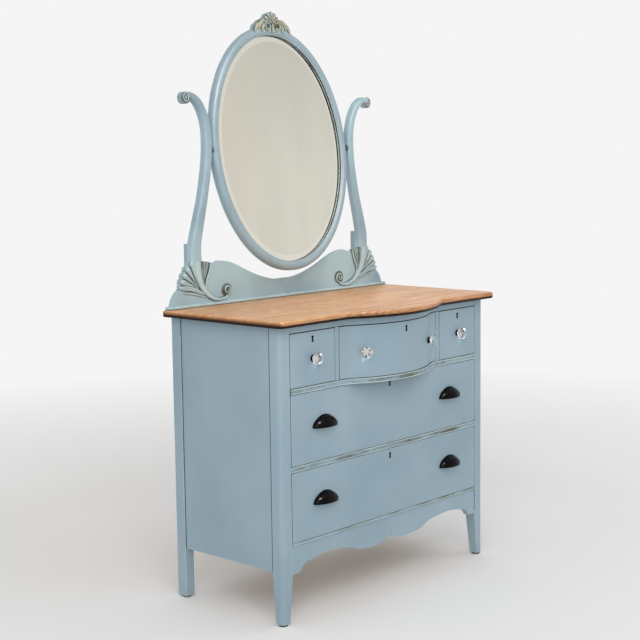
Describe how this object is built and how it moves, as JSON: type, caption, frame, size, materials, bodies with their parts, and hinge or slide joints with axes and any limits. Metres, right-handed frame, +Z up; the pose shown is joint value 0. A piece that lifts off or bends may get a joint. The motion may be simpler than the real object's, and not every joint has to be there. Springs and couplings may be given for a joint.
{
  "type": "dresser with mirror",
  "caption": "Painted serpentine-front dresser on tapered legs with drawers, glass knobs, cup pulls and an oval tilting mirror between carved scroll arms.",
  "frame": {"origin": "on the floor at the middle of the object's box", "axes": "+Z up, -Y to the front, +X to the right of a person facing it"},
  "size_m": [1.014, 0.6031, 1.7855],
  "materials": {
    "painted_wood": "chalk paint, satin wax",
    "glazed_carving": "chalk paint with dark wax in the hollows",
    "oak_top": "oiled oak",
    "bare_wood": "unfinished pine",
    "black_iron": "satin black",
    "clear_glass": "clear, faceted",
    "mirror_glass": "silvered, bevelled edge",
    "old_brass": "aged",
    "steel": "plain",
    "glide_black": "matt"
  },
  "bodies": {
    "root": {"front_posts": "painted_wood", "back_posts": "painted_wood", "side_panels": "painted_wood", "top_rail": "painted_wood", "upper_rail": "painted_wood", "middle_rail": "painted_wood", "muntins": "painted_wood", "apron": "painted_wood", "bead_moulding": "painted_wood", "harp_board": "painted_wood", "base_moulding": "painted_wood", "arms": "painted_wood", "battens": "painted_wood", "back_panel": "painted_wood", "carvings": "glazed_carving", "back_rails": "bare_wood", "drawer_guides": "bare_wood", "drawer_runners": "bare_wood", "tabletop": "oak_top", "glides": "glide_black", "wood_screws": "steel", "pivot_bushes": "old_brass"},
    "mirror": {"mirror_frame": "painted_wood", "mirror_glass": "mirror_glass", "mirror_backing": "bare_wood", "crest": "glazed_carving", "mirror_pivots": "steel"},
    "top_left_drawer": {"top_left_drawer_front": "painted_wood", "top_left_drawer_box": "bare_wood", "top_left_drawer_bottom": "bare_wood", "top_left_drawer_lock": "old_brass", "top_left_knob_collar": "black_iron", "top_left_knob_glass": "clear_glass"},
    "top_left_drawer_bolt_body": {"top_left_drawer_bolt": "old_brass"},
    "top_centre_drawer": {"top_centre_drawer_front": "painted_wood", "top_centre_drawer_box": "bare_wood", "top_centre_drawer_bottom": "bare_wood", "top_centre_drawer_lock": "old_brass", "top_centre_knob_collars": "black_iron", "top_centre_knob_glasses": "clear_glass"},
    "top_centre_drawer_bolt_body": {"top_centre_drawer_bolt": "old_brass"},
    "top_right_drawer": {"top_right_drawer_front": "painted_wood", "top_right_drawer_box": "bare_wood", "top_right_drawer_bottom": "bare_wood", "top_right_drawer_lock": "old_brass", "top_right_knob_collar": "black_iron", "top_right_knob_glass": "clear_glass"},
    "top_right_drawer_bolt_body": {"top_right_drawer_bolt": "old_brass"},
    "middle_drawer": {"middle_drawer_front": "painted_wood", "middle_drawer_box": "bare_wood", "middle_drawer_bottom": "bare_wood", "middle_drawer_lock": "old_brass", "middle_drawer_pulls": "black_iron"},
    "middle_drawer_bolt_body": {"middle_drawer_bolt": "old_brass"},
    "bottom_drawer": {"bottom_drawer_front": "painted_wood", "bottom_drawer_box": "bare_wood", "bottom_drawer_bottom": "bare_wood", "bottom_drawer_lock": "old_brass", "bottom_drawer_pulls": "black_iron"},
    "bottom_drawer_bolt_body": {"bottom_drawer_bolt": "old_brass"}
  },
  "joints": [
    {"name": "top_left_drawer_slide", "type": "slide", "parent": "root", "child": "top_left_drawer", "axis": [0, -1, 0], "range_m": [0, 0.3]},
    {"name": "top_left_drawer_bolt_slide", "type": "slide", "parent": "top_left_drawer", "child": "top_left_drawer_bolt_body", "axis": [0, 0, 1], "range_m": [0, 0.006]},
    {"name": "top_centre_drawer_slide", "type": "slide", "parent": "root", "child": "top_centre_drawer", "axis": [0, -1, 0], "range_m": [0, 0.3]},
    {"name": "top_centre_drawer_bolt_slide", "type": "slide", "parent": "top_centre_drawer", "child": "top_centre_drawer_bolt_body", "axis": [0, 0, 1], "range_m": [0, 0.006]},
    {"name": "top_right_drawer_slide", "type": "slide", "parent": "root", "child": "top_right_drawer", "axis": [0, -1, 0], "range_m": [0, 0.3]},
    {"name": "top_right_drawer_bolt_slide", "type": "slide", "parent": "top_right_drawer", "child": "top_right_drawer_bolt_body", "axis": [0, 0, 1], "range_m": [0, 0.006]},
    {"name": "middle_drawer_slide", "type": "slide", "parent": "root", "child": "middle_drawer", "axis": [0, -1, 0], "range_m": [0, 0.3]},
    {"name": "middle_drawer_bolt_slide", "type": "slide", "parent": "middle_drawer", "child": "middle_drawer_bolt_body", "axis": [0, 0, 1], "range_m": [0, 0.006]},
    {"name": "bottom_drawer_slide", "type": "slide", "parent": "root", "child": "bottom_drawer", "axis": [0, -1, 0], "range_m": [0, 0.3]},
    {"name": "bottom_drawer_bolt_slide", "type": "slide", "parent": "bottom_drawer", "child": "bottom_drawer_bolt_body", "axis": [0, 0, 1], "range_m": [0, 0.006]},
    {"name": "mirror_tilt", "type": "hinge", "parent": "root", "child": "mirror", "pos_m": [0, 0.23739, 1.3538], "axis": [1, 0, 0], "range_deg": [-13, 27]}
  ]
}
